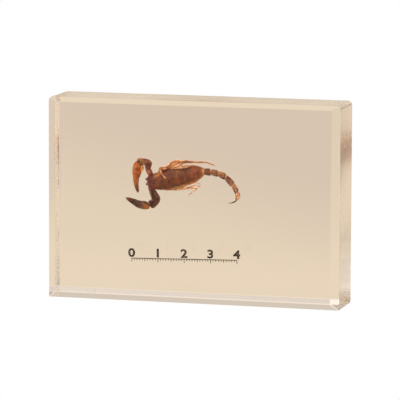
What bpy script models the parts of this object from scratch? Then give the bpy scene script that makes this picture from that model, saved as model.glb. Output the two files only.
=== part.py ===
"""A scorpion cast in a clear resin block, which stands on one long edge with its front face to -Y.

The block is cast in two layers that meet at the specimen. Each layer holds half of the pocket that the
scorpion fills, and the scorpion is one solid. The origin is the middle of the base. Units are metres.
"""

import math

import bpy
import bmesh
from mathutils import Vector

MM = 0.001

# The block
BLOCK_WIDTH = 110.0 * MM
BLOCK_HEIGHT = 74.5 * MM
BLOCK_DEPTH = 22.0 * MM
FLAT_BEVEL = 2.0 * MM  # flat bevel polished round the front face and along the lower back edge
FACE_INSET = 1.0 * MM  # the bevel takes this much more of the front face's ends
FACE_LIFT = 0.5 * MM  # and that much more of its bottom than of its top
EDGE_ROUND = 1.7 * MM  # rounding of the other edges behind the front, but none of the base's
EDGE_SEGMENTS = 3
LAYER_GAP = 0.3 * MM  # the two cast layers are kept this far apart
POCKET_CLEARANCE = 0.5  # millimetres between the scorpion and the resin
POCKET_REACH = 0.9  # millimetres that a pocket runs past the end of what it holds

WELD = 0.001 * MM  # points this close are one
# Numbers of sides of the round pieces
BODY_SIDES = 20
TAIL_SIDES = 12
CLAW_SIDES = 12
LEG_SIDES = 6
POCKET_SIDES = 8

# The scorpion, in millimetres: x to the right, y to the back, z up from the base, then the radius.
# Its back faces the front of the block, its head is at the left and its body lies in the parting plane.
BODY_FLATNESS = 0.62  # thickness of the body as a share of its width
PROSOMA = (
    (-18.7, 43.50, 1.3),
    (-18.3, 43.55, 2.0),
    (-17.0, 43.70, 2.7),
    (-15.0, 43.95, 3.15),
    (-13.3, 44.15, 3.45),
    (-12.7, 44.20, 3.2),
)  # x, z, radius
TERGITES = (
    (-13.1, 44.10, 3.35),
    (-11.2, 44.65, 3.6),
    (-9.2, 45.15, 3.7),
    (-6.9, 45.70, 3.8),
    (-4.4, 46.40, 3.75),
    (-1.8, 47.20, 3.4),
    (0.7, 47.80, 2.6),
    (2.6, 48.15, 1.4),
)  # x, z, radius at each edge between two back plates
PLATE_TUCK = 0.94  # radius of a plate's front edge, tucked under the one before it
PLATE_FLARE = 1.03  # radius of its rear edge

TAIL_JOINTS = (
    (2.6, 0.0, 48.2),
    (5.4, 0.1, 48.15),
    (8.1, 0.2, 47.7),
    (10.9, 0.3, 46.6),
    (13.75, 0.3, 43.75),
    (15.35, 0.2, 41.0),
)
TAIL_RADII = (1.18, 1.10, 1.06, 1.02, 0.88)
VESICLE = (
    (15.45, 0.2, 41.2, 0.55),
    (15.6, 0.2, 40.4, 0.95),
    (15.5, 0.2, 39.4, 1.0),
    (15.1, 0.1, 38.4, 0.6),
)
STING = (
    (15.25, 0.1, 38.7, 0.55),
    (14.8, 0.1, 37.75, 0.36),
    (13.7, 0.0, 37.1, 0.25),
    (12.0, 0.0, 36.9, 0.1),
)

# Each pedipalp: shoulder, elbow, wrist and start of the hand, then the radii of the three joints between
UPPER_ARM = ((-16.6, 0.4, 44.6), (-18.5, 0.0, 48.4), (-18.2, -0.1, 51.0), (-22.6, -0.1, 50.95))
UPPER_ARM_RADII = (1.15, 1.42, 1.40)
LOWER_ARM = ((-17.2, 0.4, 44.0), (-17.0, 0.2, 40.6), (-14.95, 0.1, 36.7), (-17.7, 0.0, 34.9))
LOWER_ARM_RADII = (1.4, 1.70, 1.75)
UPPER_HAND = (
    (-22.4, -0.1, 51.0, 0.8),
    (-22.4, -0.1, 49.7, 1.75),
    (-22.6, -0.1, 47.8, 1.85),
    (-22.9, -0.1, 44.9, 1.2),
)
UPPER_FINGERS = (
    ((-23.3, -0.1, 45.3, 0.8), (-23.3, -0.1, 43.0, 0.58), (-22.8, -0.1, 40.8, 0.38),
     (-22.2, -0.1, 39.3, 0.15)),
    ((-22.4, -0.1, 45.2, 0.75), (-22.4, -0.1, 43.0, 0.46), (-22.2, -0.1, 40.9, 0.3),
     (-22.0, -0.1, 39.5, 0.14)),
)
LOWER_HAND = (
    (-17.8, 0.0, 34.35, 0.8),
    (-19.1, 0.0, 34.55, 1.4),
    (-21.2, 0.0, 35.0, 1.5),
    (-23.3, 0.0, 35.6, 1.2),
)
LOWER_FINGERS = (
    ((-22.9, 0.0, 36.3, 0.85), (-24.5, 0.0, 36.9, 0.55), (-25.9, 0.0, 37.3, 0.36), (-27.0, 0.0, 37.3, 0.14)),
    ((-23.0, 0.0, 35.3, 0.8), (-24.6, 0.0, 35.9, 0.5), (-25.9, 0.0, 36.6, 0.34), (-26.9, 0.0, 37.0, 0.14)),
)
HAND_FLATNESS = 0.85
PEDIPALPS = (
    ("Upper pedipalp", UPPER_ARM, UPPER_ARM_RADII, UPPER_HAND, UPPER_FINGERS),
    ("Lower pedipalp", LOWER_ARM, LOWER_ARM_RADII, LOWER_HAND, LOWER_FINGERS),
)

CHELICERAE = (
    ((-17.6, -0.2, 44.5, 0.75), (-18.7, -0.2, 44.6, 0.7), (-19.2, -0.1, 44.3, 0.25)),
    ((-17.6, -0.2, 42.9, 0.75), (-18.5, -0.2, 42.7, 0.7), (-19.0, -0.1, 42.8, 0.25)),
)
EYE_MOUND = ((-16.2, -1.5, 43.85, 0.5), (-15.6, -1.75, 43.9, 0.62), (-14.9, -1.5, 43.95, 0.5))

# Each leg: hip, then the end of each of its joints, down to the claw
UPPER_LEGS = (
    ((-14.6, 1.1, 46.4), (-14.1, -0.2, 47.9), (-11.3, -0.9, 49.3), (-13.8, -1.7, 48.9), (-13.0, -2.3, 47.3),
     (-12.1, -2.5, 46.2), (-11.3, -2.55, 45.3)),
    ((-13.2, 1.1, 46.8), (-12.2, 0.1, 48.4), (-8.6, -0.9, 51.4), (-6.7, -1.0, 51.9), (-4.9, -0.8, 51.7),
     (-3.4, -0.7, 51.9), (-2.2, -0.6, 51.7)),
    ((-12.0, 1.2, 47.0), (-10.9, 0.7, 48.5), (-6.6, 0.4, 51.1), (-3.9, 0.4, 51.4), (-1.1, 0.3, 51.5),
     (3.7, 0.3, 51.6), (6.6, 0.3, 50.6)),
    ((-10.8, 1.2, 47.0), (-9.4, -0.4, 48.6), (-5.0, -1.4, 50.9), (-7.7, -2.2, 49.3), (-4.6, -2.3, 49.5),
     (-2.8, -2.2, 50.0), (-1.1, -2.0, 50.6)),
)
LOWER_LEGS = (
    ((-15.4, 1.1, 42.4), (-14.4, 1.4, 41.3), (-10.4, 1.9, 41.0), (-6.6, 1.8, 41.1), (-3.4, 1.5, 41.8),
     (-0.8, 1.4, 42.7), (0.9, 1.3, 42.5)),
    ((-14.3, 1.2, 42.5), (-12.8, 1.7, 41.8), (-8.2, 2.2, 41.5), (-4.8, 2.1, 41.6), (-2.2, 1.9, 41.8),
     (0.0, 1.6, 41.7), (-2.8, 1.2, 39.4)),
    ((-13.2, 1.3, 42.8), (-11.4, 1.9, 42.5), (-6.6, 2.4, 42.5), (-3.9, 2.2, 43.0), (-2.2, 2.0, 43.6),
     (-1.0, 1.8, 43.9), (0.8, 1.4, 43.5)),
    ((-12.1, 1.4, 43.1), (-9.8, 2.0, 43.2), (-5.2, 2.3, 43.9), (-3.0, 2.1, 44.4), (-1.4, 1.9, 45.0),
     (-0.4, 1.6, 45.2), (1.0, 1.3, 45.5)),
)
LEG_RADII = (0.66, 0.66, 0.58, 0.44, 0.34, 0.26)
JOINT_NECK = 0.66  # radius of a joint's ends as a share of its middle
JOINT_REACH = 0.25  # how far a joint reaches into its neighbour, as a share of its radius
CLAW_TIP = 0.5  # the last joint of a leg narrows to this share

# The pocket in the resin, a smooth envelope of the scorpion with a clearance all round: x, y, z, radius
POCKET_BODY = (
    (-20.2, 0.0, 43.5, 1.5),
    (-18.4, 0.0, 43.55, 2.7),
    (-13.3, 0.0, 44.1, 4.0),
    (-7.0, 0.0, 45.6, 4.4),
    (-2.0, 0.0, 47.0, 4.0),
    (0.8, 0.0, 47.8, 3.1),
    (3.2, 0.0, 48.3, 1.8),
)
POCKET_FLATNESS = 0.8
POCKET_TAIL = (
    (2.0, 0.0, 48.25, 1.6),
    (8.0, 0.2, 47.7, 1.6),
    (11.1, 0.3, 46.3, 1.6),
    (13.9, 0.3, 43.9, 1.5),
    (15.6, 0.2, 40.9, 1.5),
    (15.4, 0.2, 38.2, 1.4),
    (13.9, 0.0, 37.0, 0.8),
    (12.0, 0.0, 36.9, 0.7),
)
POCKET_UPPER_LEGS = (
    (-16.2, 0.1, 46.4, 2.3),
    (-13.0, -0.5, 47.7, 3.1),
    (-8.0, -0.1, 50.4, 3.1),
    (-4.0, -0.3, 50.7, 2.9),
    (-1.0, -0.2, 50.9, 2.5),
    (2.5, 0.2, 51.4, 1.5),
    (6.6, 0.3, 50.8, 1.0),
)
POCKET_LOWER_LEGS = (
    (-16.3, 0.8, 42.4, 2.2),
    (-11.0, 1.2, 41.4, 2.5),
    (-5.0, 1.3, 42.4, 2.7),
    (0.0, 1.2, 43.7, 2.3),
    (2.6, 1.0, 44.6, 1.5),
)
POCKET_LEG_TIPS = (
    ((-1.6, 1.0, 42.6, 1.3), (1.2, 1.0, 42.3, 1.0)),
    ((-0.6, 1.0, 41.8, 1.3), (-3.5, 1.0, 38.9, 1.0)),
)
CLAW_TIP_POCKET = 0.6  # millimetres, radius of the pocket round the closed finger tips


def clear_scene():
    for old in list(bpy.data.objects):
        bpy.data.objects.remove(old)


def new_collection(name):
    collection = bpy.data.collections.new(name)
    bpy.context.scene.collection.children.link(collection)
    return collection


def new_material(name, color, roughness, transmission=0.0, ior=1.5):
    material = bpy.data.materials.new(name)
    material.use_nodes = True
    shader = material.node_tree.nodes["Principled BSDF"]
    shader.inputs["Base Color"].default_value = (*color, 1.0)
    shader.inputs["Roughness"].default_value = roughness
    shader.inputs["Metallic"].default_value = 0.0
    shader.inputs["Transmission Weight"].default_value = transmission
    shader.inputs["IOR"].default_value = ior
    return material


def as_helper(piece):
    """A piece that is cut away or joined in, and isn't a part of its own."""
    piece.hide_render = True
    piece.display_type = "WIRE"
    return piece


def tube(name, stations, sides, collection, flatness=1.0):
    """A closed tube through (x, y, z, radius) stations in millimetres, thinned front to back by flatness."""
    curve = bpy.data.curves.new(name, "CURVE")
    curve.dimensions = "3D"
    curve.bevel_depth = MM
    curve.bevel_resolution = (sides - 4) // 2
    curve.use_fill_caps = True
    spline = curve.splines.new("POLY")
    spline.points.add(len(stations) - 1)
    for point, (x, y, z, radius) in zip(spline.points, stations):
        point.co = (x * MM, y * MM, z * MM, 1.0)
        point.radius = radius
    guide = bpy.data.objects.new(name + " guide", curve)
    collection.objects.link(guide)
    graph = bpy.context.evaluated_depsgraph_get()
    mesh = bpy.data.meshes.new_from_object(guide.evaluated_get(graph))
    mesh.name = name
    bpy.data.objects.remove(guide)

    shape = bmesh.new()
    shape.from_mesh(mesh)
    bmesh.ops.remove_doubles(shape, verts=shape.verts, dist=WELD)
    middle = sum(station[1] for station in stations) / len(stations) * MM
    for vertex in shape.verts:
        vertex.co.y = middle + (vertex.co.y - middle) * flatness
    bmesh.ops.recalc_face_normals(shape, faces=shape.faces)
    shape.to_mesh(mesh)
    shape.free()
    piece = bpy.data.objects.new(name, mesh)
    collection.objects.link(piece)
    return piece


def joint_stations(start, end, radius, end_share=JOINT_NECK):
    """A barrel from start to end that necks down at both ends and reaches a little into its neighbours."""
    start, end = Vector(start), Vector(end)
    along = (end - start).normalized()
    reach = JOINT_REACH * radius
    places = (
        (start - along * reach, radius * JOINT_NECK),
        (start.lerp(end, 0.14), radius * 0.94),
        (start.lerp(end, 0.8), radius * (1.03 if end_share == JOINT_NECK else 0.75)),
        (end + along * reach, radius * end_share),
    )
    return [(*place, share) for place, share in places]


def add_limb(name, joints, radii, sides, pieces, tip_share=JOINT_NECK):
    last = len(joints) - 2
    for index, (start, end) in enumerate(zip(joints, joints[1:])):
        share = tip_share if index == last else JOINT_NECK
        stations = joint_stations(start, end, radii[min(index, len(radii) - 1)], share)
        as_helper(tube(f"{name} joint {index + 1}", stations, sides, pieces))


def back_plate_stations():
    """The body behind the head shield: each plate is tucked under the one before it and flares behind."""
    stations = []
    for front, rear in zip(TERGITES, TERGITES[1:]):
        x, z, radius = front
        stations.append((x, 0.0, z, radius * PLATE_TUCK))
        x, z, radius = Vector(front).lerp(Vector(rear), 0.9)
        stations.append((x, 0.0, z, rear[2] * PLATE_FLARE))
    x, z, radius = TERGITES[-1]
    stations.append((x, 0.0, z, radius * PLATE_TUCK))
    return stations


def join_in(piece, collection):
    join = piece.modifiers.new("Joined pieces", "BOOLEAN")
    join.operation = "UNION"
    join.solver = "EXACT"
    join.operand_type = "COLLECTION"
    join.collection = collection
    join.use_self = True


def make_scorpion(parts, pieces):
    scorpion = tube("scorpion", back_plate_stations(), BODY_SIDES, parts, BODY_FLATNESS)
    shield = [(x, 0.0, z, radius) for x, z, radius in PROSOMA]
    as_helper(tube("Head shield", shield, BODY_SIDES, pieces, BODY_FLATNESS))
    as_helper(tube("Eye mound", EYE_MOUND, LEG_SIDES, pieces))
    for index, stations in enumerate(CHELICERAE):
        as_helper(tube(f"Chelicera {index + 1}", stations, LEG_SIDES, pieces))

    for index, (start, end) in enumerate(zip(TAIL_JOINTS, TAIL_JOINTS[1:])):
        stations = joint_stations(start, end, TAIL_RADII[index])
        as_helper(tube(f"Tail segment {index + 1}", stations, TAIL_SIDES, pieces))
    as_helper(tube("Vesicle", VESICLE, TAIL_SIDES, pieces))
    as_helper(tube("Sting", STING, LEG_SIDES, pieces))

    for name, arm, radii, hand, fingers in PEDIPALPS:
        add_limb(name, arm, radii, CLAW_SIDES, pieces)
        as_helper(tube(f"{name} hand", hand, CLAW_SIDES, pieces, HAND_FLATNESS))
        for index, finger in enumerate(fingers):
            as_helper(tube(f"{name} finger {index + 1}", finger, LEG_SIDES, pieces))

    for side, legs in (("Upper", UPPER_LEGS), ("Lower", LOWER_LEGS)):
        for index, joints in enumerate(legs):
            add_limb(f"{side} leg {index + 1}", joints, LEG_RADII, LEG_SIDES, pieces, CLAW_TIP)
    join_in(scorpion, pieces)
    return scorpion


def envelope(name, stations, pockets, flatness=1.0, clearance=0.0):
    """A pocket cutter whose flat sides clear the given radii, and whose ends reach past its end stations."""
    sides = BODY_SIDES if flatness < 1.0 else POCKET_SIDES
    widen = 1.0 / math.cos(math.pi / sides)
    wide = [(Vector(place), (radius + clearance) * widen) for *place, radius in stations]
    for end, inner in ((0, 1), (-1, -2)):
        place, radius = wide[end]
        outward = (place - wide[inner][0]).normalized()
        wide[end] = (place + outward * POCKET_REACH, radius)
    as_helper(tube(name, [(*place, radius) for place, radius in wide], sides, pockets, flatness))


def make_pocket(pockets):
    """The envelopes that are cut out of both layers, each of which crosses the parting plane."""
    envelope("Body pocket", POCKET_BODY, pockets, POCKET_FLATNESS)
    envelope("Tail pocket", POCKET_TAIL, pockets)
    envelope("Upper legs pocket", POCKET_UPPER_LEGS, pockets)
    envelope("Lower legs pocket", POCKET_LOWER_LEGS, pockets)
    for index, stations in enumerate(POCKET_LEG_TIPS):
        envelope(f"Leg tip pocket {index + 1}", stations, pockets)
    for name, arm, radii, hand, fingers in PEDIPALPS:
        stations = []
        for start, end in zip(arm, arm[1:]):
            places = [Vector(start).lerp(Vector(end), share) for share in (0.0, 0.3, 0.7, 1.0)]
            stations += [(*place, max(radii)) for place in (places if end == arm[-1] else places[:-1])]
        envelope(f"{name} arm pocket", stations, pockets, clearance=POCKET_CLEARANCE)
        (*knuckle, _), (*tip, _) = fingers[0][1], fingers[0][-1]
        closed = (*hand, (*knuckle, hand[-1][3]), (*tip, CLAW_TIP_POCKET))
        envelope(f"{name} claw pocket", closed, pockets, clearance=POCKET_CLEARANCE)


def is_rounded(edge):
    """The edges behind the parting plane and those that cross it, except the base's and its flat bevel's."""
    back = max(v.co.y for v in edge.verts) > 0.0
    at_base = all(v.co.z < 1.5 * FLAT_BEVEL for v in edge.verts)
    return back and not at_base


def block_shape():
    """The whole block: a flat bevel round the front face and along the lower back edge, two sharp edges
    at the ends of the base, and the rest rounded."""
    shape = bmesh.new()
    bmesh.ops.create_cube(shape, size=1.0)
    bmesh.ops.scale(shape, vec=(BLOCK_WIDTH, BLOCK_DEPTH, BLOCK_HEIGHT), verts=shape.verts)
    bmesh.ops.translate(shape, vec=(0.0, 0.0, BLOCK_HEIGHT / 2), verts=shape.verts)
    middle = BLOCK_HEIGHT / 2
    flat_edges = [
        edge
        for edge in shape.edges
        if all(v.co.y < 0.0 for v in edge.verts) or all(v.co.y > 0.0 and v.co.z < middle for v in edge.verts)
    ]
    bmesh.ops.bevel(shape, geom=flat_edges, offset=FLAT_BEVEL, segments=1, affect="EDGES")
    face_corners = [vertex for vertex in shape.verts if vertex.co.y < 0.1 * FLAT_BEVEL - BLOCK_DEPTH / 2]
    narrower = 1.0 - 2.0 * FACE_INSET / (BLOCK_WIDTH - 2.0 * FLAT_BEVEL)
    bmesh.ops.scale(shape, vec=(narrower, 1.0, 1.0), verts=face_corners)
    bmesh.ops.translate(shape, vec=(0.0, 0.0, FACE_LIFT), verts=face_corners)
    round_edges = [edge for edge in shape.edges if is_rounded(edge)]
    bmesh.ops.bevel(
        shape, geom=round_edges, offset=EDGE_ROUND, segments=EDGE_SEGMENTS, profile=0.5, affect="EDGES"
    )
    return shape


def make_layer(name, side, parts, pockets):
    """The cast layer in front of the parting plane, side -1, or behind it, side 1."""
    shape = block_shape()
    cut = bmesh.ops.bisect_plane(
        shape,
        geom=[*shape.verts, *shape.edges, *shape.faces],
        plane_co=(0.0, side * LAYER_GAP / 2, 0.0),
        plane_no=(0.0, -side, 0.0),
        clear_outer=True,
    )
    rim = [item for item in cut["geom_cut"] if isinstance(item, bmesh.types.BMEdge)]
    bmesh.ops.edgeloop_fill(shape, edges=rim)
    bmesh.ops.recalc_face_normals(shape, faces=shape.faces)
    mesh = bpy.data.meshes.new(name)
    shape.to_mesh(mesh)
    shape.free()
    layer = bpy.data.objects.new(name, mesh)
    parts.objects.link(layer)
    pocket = layer.modifiers.new("Pocket", "BOOLEAN")
    pocket.operation = "DIFFERENCE"
    pocket.solver = "EXACT"
    pocket.operand_type = "COLLECTION"
    pocket.collection = pockets
    pocket.use_self = True
    return layer


def main():
    clear_scene()
    parts = new_collection("Scorpion in resin block")
    pieces = new_collection("Pieces of the scorpion")
    pockets = new_collection("Pocket cutters")
    pieces.hide_render = True
    pockets.hide_render = True

    scorpion = make_scorpion(parts, pieces)
    scorpion.data.materials.append(new_material("Scorpion cuticle", (0.27, 0.10, 0.035), 0.4))
    make_pocket(pockets)
    for name, side in (("resin_front", -1), ("resin_back", 1)):
        layer = make_layer(name, side, parts, pockets)
        clear = new_material(name.replace("_", " "), (0.98, 0.95, 0.88), 0.03, transmission=1.0, ior=1.52)
        layer.data.materials.append(clear)


main()
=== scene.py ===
import random
from itertools import product
from math import atan2, cos, pi, radians, sin, sqrt

import bmesh
import bpy
from mathutils import Matrix, Vector


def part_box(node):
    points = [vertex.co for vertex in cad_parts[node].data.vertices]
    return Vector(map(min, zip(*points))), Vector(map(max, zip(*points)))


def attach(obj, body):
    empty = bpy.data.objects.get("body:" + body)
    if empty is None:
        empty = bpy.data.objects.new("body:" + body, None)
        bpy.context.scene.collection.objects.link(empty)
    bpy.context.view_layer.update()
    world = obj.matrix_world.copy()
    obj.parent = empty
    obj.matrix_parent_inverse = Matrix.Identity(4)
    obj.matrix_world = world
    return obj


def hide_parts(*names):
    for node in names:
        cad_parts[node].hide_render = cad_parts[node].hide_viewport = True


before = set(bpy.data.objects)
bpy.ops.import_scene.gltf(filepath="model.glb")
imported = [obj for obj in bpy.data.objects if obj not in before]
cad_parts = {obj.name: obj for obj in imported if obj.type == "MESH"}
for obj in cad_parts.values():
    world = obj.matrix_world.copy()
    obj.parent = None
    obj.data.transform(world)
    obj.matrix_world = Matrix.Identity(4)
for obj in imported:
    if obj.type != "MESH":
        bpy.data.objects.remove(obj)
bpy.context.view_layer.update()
mm = 0.001
frontLow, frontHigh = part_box("resin_front")
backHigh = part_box("resin_back")[1]
print("frame loaded:", sorted(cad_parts))


def setMode(mode):
    bpy.ops.object.mode_set(mode=mode)


def pick(*pieces):
    bpy.ops.object.select_all(action="DESELECT")
    for piece in pieces:
        piece.select_set(True)
    bpy.context.view_layer.objects.active = pieces[0]


def settle(piece):
    pick(piece)
    bpy.ops.object.transform_apply(location=True, rotation=True, scale=True)


def addShape(kind, name, **settings):
    getattr(bpy.ops.mesh, f"primitive_{kind}_add")(**settings)
    bpy.context.object.name = name
    settle(bpy.context.object)
    return bpy.context.object


def finishWith(piece, kind, **settings):
    pick(piece)
    step = piece.modifiers.new(kind, kind)
    for name, value in settings.items():
        setattr(step, name, value)
    bpy.ops.object.modifier_apply(modifier=step.name)


def chooseInEdit(piece, kind, test):  # selects the vertices, edges or faces that pass the test, in edit mode
    bpy.ops.mesh.select_mode(type=kind)
    bpy.ops.mesh.select_all(action="DESELECT")
    shape = bmesh.from_edit_mesh(piece.data)
    for item in {"VERT": shape.verts, "EDGE": shape.edges, "FACE": shape.faces}[kind]:
        if test(item):
            item.select_set(True)
    shape.select_flush_mode()
    bmesh.update_edit_mesh(piece.data)


def feedAll(tree, node, feeds):  # on each named input, a link from another node or a plain value
    for label, feed in feeds.items():
        socket = node.inputs[label]
        if isinstance(feed, bpy.types.NodeSocket):
            tree.links.new(feed, socket)
        else:
            socket.default_value = (*feed, 1.0) if socket.type == "RGBA" else feed
    return node


def addNode(tree, kind, feeds, **settings):
    node = tree.nodes.new(f"ShaderNode{kind}")
    for name, value in settings.items():
        setattr(node, name, value)
    return feedAll(tree, node, feeds)


def newGroup(name, inputs, outputs):  # a node group with named numbers in and named masks out
    group = bpy.data.node_groups.new(name, "ShaderNodeTree")
    for label, value in inputs.items():
        socket = group.interface.new_socket(name=label, in_out="INPUT", socket_type="NodeSocketFloat")
        socket.default_value = value
    for label in outputs:
        group.interface.new_socket(name=label, in_out="OUTPUT", socket_type="NodeSocketFloat")
    return group, group.nodes.new("NodeGroupInput").outputs, group.nodes.new("NodeGroupOutput")


def placeGroup(tree, group, *values):  # the group's node, with its first inputs set
    return addNode(tree, "Group", dict(enumerate(values)), node_tree=group).outputs


def newMaterial(name):
    material = bpy.data.materials.new(name)
    material.use_nodes = True
    return material, material.node_tree, material.node_tree.nodes["Principled BSDF"]


def coordinates(tree, kind="Object"):
    return addNode(tree, "TexCoord", {}).outputs[kind]


def splitAxes(tree, vector):
    return addNode(tree, "SeparateXYZ", {"Vector": vector}).outputs


def noise(tree, place, scale, detail):
    return addNode(tree, "TexNoise", {"Vector": place, "Scale": scale, "Detail": detail}).outputs["Fac"]


def softStep(tree, value, start, end):
    feeds = {"Value": value, "From Min": start, "From Max": end}
    return addNode(tree, "MapRange", feeds, interpolation_type="SMOOTHSTEP").outputs["Result"]


def rampBetween(tree, value, low, high):  # a number that runs from low to high with the mask
    return addNode(tree, "MapRange", {"Value": value, "To Min": low, "To Max": high}).outputs["Result"]


def calculate(tree, operation, *terms):
    return addNode(tree, "Math", dict(enumerate(terms)), operation=operation).outputs["Value"]


def weightedSum(tree, shares):  # every share times its amount, all added up
    total = 0.0
    for share, amount in shares:
        total = calculate(tree, "MULTIPLY_ADD", share, amount, total)
    return total


def mixColours(tree, share, first, second, way="MIX"):  # the node's colour sockets are 6, 7 and, out of it, 2
    feeds = {"Factor": share, 6: first, 7: second}
    return addNode(tree, "Mix", feeds, data_type="RGBA", blend_type=way).outputs[2]


def bumpFrom(tree, height, strength, depth):
    feeds = {"Height": height, "Strength": strength, "Distance": depth * mm}
    return addNode(tree, "Bump", feeds).outputs["Normal"]


clearBlock = {
    "low": frontLow,
    "high": Vector((frontHigh.x, backHigh.y, frontHigh.z)),
    "flatBevel": 2.0 * mm,  # flat bevel round the front face and along the lower back edge
    "faceInset": 1.0 * mm,  # the bevel takes this much more of the front face's ends
    "faceLift": 0.5 * mm,  # and that much more of its bottom than of its top
    "edgeRound": 1.7 * mm,  # rounding of the other edges, but the base's two short ones, which are sharp
    "roundSegments": 7,
    "polishRound": 0.3 * mm,  # what buffing took off the bevels' own edges
    "topRoughness": 0.6,  # the top and the two ends were sanded and never polished
    "endRoughness": 0.23,
    "sandedFacing": (0.9, 0.98),
    "hazeRoughness": 0.012,
    "hazeScale": 45.0,
    "scratchScale": 120.0,
    "scratchStrength": 0.06,
    "tint": (0.86, 0.66, 0.2),
    "tintDensity": 0.8,
    "refraction": 1.5,
}


def makeResinBlock(look):
    size, middle = look["high"] - look["low"], (look["low"] + look["high"]) / 2
    bevel = look["flatBevel"]
    block = addShape("cube", "resinBlock", size=1.0, location=middle, scale=size)
    setMode("EDIT")
    chooseInEdit(block, "EDGE", lambda edge: all(v.co.y < middle.y for v in edge.verts)
        or all(v.co.y > middle.y and v.co.z < middle.z for v in edge.verts))
    bpy.ops.mesh.bevel(offset=bevel)
    chooseInEdit(block, "FACE", lambda face: all(v.co.y < look["low"].y + 0.1 * bevel for v in face.verts))
    narrower = 1.0 - 2.0 * look["faceInset"] / (size.x - 2.0 * bevel)
    bpy.ops.transform.resize(value=(narrower, 1.0, 1.0), center_override=middle)
    bpy.ops.transform.translate(value=(0.0, 0.0, look["faceLift"]))
    chooseInEdit(block, "EDGE", lambda edge: max(v.co.y for v in edge.verts) > middle.y
        and not all(v.co.z < look["low"].z + 1.5 * bevel for v in edge.verts))
    bpy.ops.mesh.bevel(offset=look["edgeRound"], segments=look["roundSegments"])
    setMode("OBJECT")
    bpy.ops.object.shade_smooth()
    finishWith(block, "BEVEL", width=look["polishRound"], segments=2, limit_method="ANGLE",
        angle_limit=radians(30), harden_normals=True)
    return block


def buffingGroup():  # faint scratches that run every way, and the haze that polishing leaves
    sizes = {"Scratch Scale": 120.0, "Haze Scale": 45.0}
    group, start, end = newGroup("buffingMarks", sizes, ("Scratches", "Haze"))
    place = coordinates(group)
    marks = 0.0
    for turn, stretch in ((0.5, 40.0), (-0.9, 60.0)):
        feeds = {"Vector": place, "Rotation": (0.0, turn, 0.0), "Scale": (1.0, 1.0, stretch)}
        turned = addNode(group, "Mapping", feeds).outputs["Vector"]
        line = softStep(group, noise(group, turned, start["Scratch Scale"], 1.0), 0.7, 0.8)
        marks = calculate(group, "MAXIMUM", line, marks)
    haze = softStep(group, noise(group, place, start["Haze Scale"], 6.0), 0.45, 0.75)
    feedAll(group, end, {"Scratches": marks, "Haze": haze})
    return group


def clearResinMaterial(look):
    material, tree, shader = newMaterial("clearCastResin")
    marks = placeGroup(tree, buffingGroup(), look["scratchScale"], look["hazeScale"])
    facing = splitAxes(tree, coordinates(tree, "Normal"))
    upwards = softStep(tree, facing["Z"], *look["sandedFacing"])
    endwards = softStep(tree, calculate(tree, "ABSOLUTE", facing["X"]), *look["sandedFacing"])
    rough = weightedSum(tree, ((marks["Haze"], look["hazeRoughness"]), (upwards, look["topRoughness"]),
        (endwards, look["endRoughness"])))
    scratches = bumpFrom(tree, marks["Scratches"], look["scratchStrength"], 0.01)
    feedAll(tree, shader, {"Base Color": (1.0, 1.0, 1.0), "IOR": look["refraction"],
        "Transmission Weight": 1.0, "Roughness": rough, "Normal": scratches})
    tint = addNode(tree, "VolumeAbsorption", {"Color": look["tint"], "Density": look["tintDensity"]})
    feedAll(tree, tree.nodes["Material Output"], {"Volume": tint.outputs["Volume"]})
    return material


resinBlock = makeResinBlock(clearBlock)
resinBlock.data.materials.append(clearResinMaterial(clearBlock))
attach(resinBlock, "root")
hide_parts("resin_front", "resin_back")
print("clear block:", len(resinBlock.data.polygons), "faces")


# The scorpion's own proportions, in millimetres as in the solids: x, y, z and then a radius.
def toPlace(point):
    return Vector(point[:3]) * mm


def growChain(name, rings, sides, flatness=1.0):  # an n-gon extruded from ring to ring, turned and sized
    places = [toPlace(ring) for ring in rings]
    turns = []
    for index, place in enumerate(places):
        before, after = places[max(index - 1, 0)], places[min(index + 1, len(places) - 1)]
        heading = (place - before).normalized() + (after - place).normalized()
        turns.append(atan2(heading.x, heading.z))
    chain = addShape("circle", name, vertices=sides, radius=rings[0][3] * mm, fill_type="NGON",
        location=places[0], rotation=(0.0, turns[0], 0.0))
    setMode("EDIT")
    bpy.ops.mesh.select_all(action="SELECT")
    bpy.ops.transform.resize(value=(1.0, flatness, 1.0), center_override=places[0])
    for index in range(1, len(places)):
        bpy.ops.mesh.extrude_region_move(TRANSFORM_OT_translate={"value": places[index] - places[index - 1]})
        bend = (turns[index] - turns[index - 1] + pi) % (2 * pi) - pi
        growth = rings[index][3] / rings[index - 1][3]
        bpy.ops.transform.rotate(value=-bend, orient_axis="Y", center_override=places[index])
        bpy.ops.transform.resize(value=(growth, growth, growth), center_override=places[index])
    bpy.ops.mesh.select_all(action="SELECT")
    bpy.ops.mesh.normals_make_consistent(inside=False)
    setMode("OBJECT")
    return chain


# Each ring keeps the circle's order: 0 is the belly side (+Y), half the sides further is the back (-Y).
def raiseLines(chain, sides, lines, height, rings=None, crease=0.0):
    pick(chain)
    setMode("EDIT")
    chooseInEdit(chain, "VERT", lambda vertex: vertex.index % sides in lines
        and (rings is None or vertex.index // sides in rings))
    bpy.ops.transform.shrink_fatten(value=height * mm)
    if crease:
        bpy.ops.transform.edge_crease(value=crease)
    setMode("OBJECT")


def limbRings(joints, radii, profile):  # the rings of a limb: all its pieces swell by one profile
    rings = [(*Vector(start).lerp(Vector(end), share), radius * swell)
        for start, end, radius in zip(joints, joints[1:], radii) for share, swell in profile]
    return rings + [(*joints[len(radii)], radii[-1] * profile[0][1])]


def bodiesOf(count):  # the rings of a limb that are not at its joints
    return [ring for ring in range(count) if ring % 5]


def soften(piece, levels=2):
    finishWith(piece, "SUBSURF", levels=levels, render_levels=levels)
    bpy.ops.object.shade_smooth()


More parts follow.
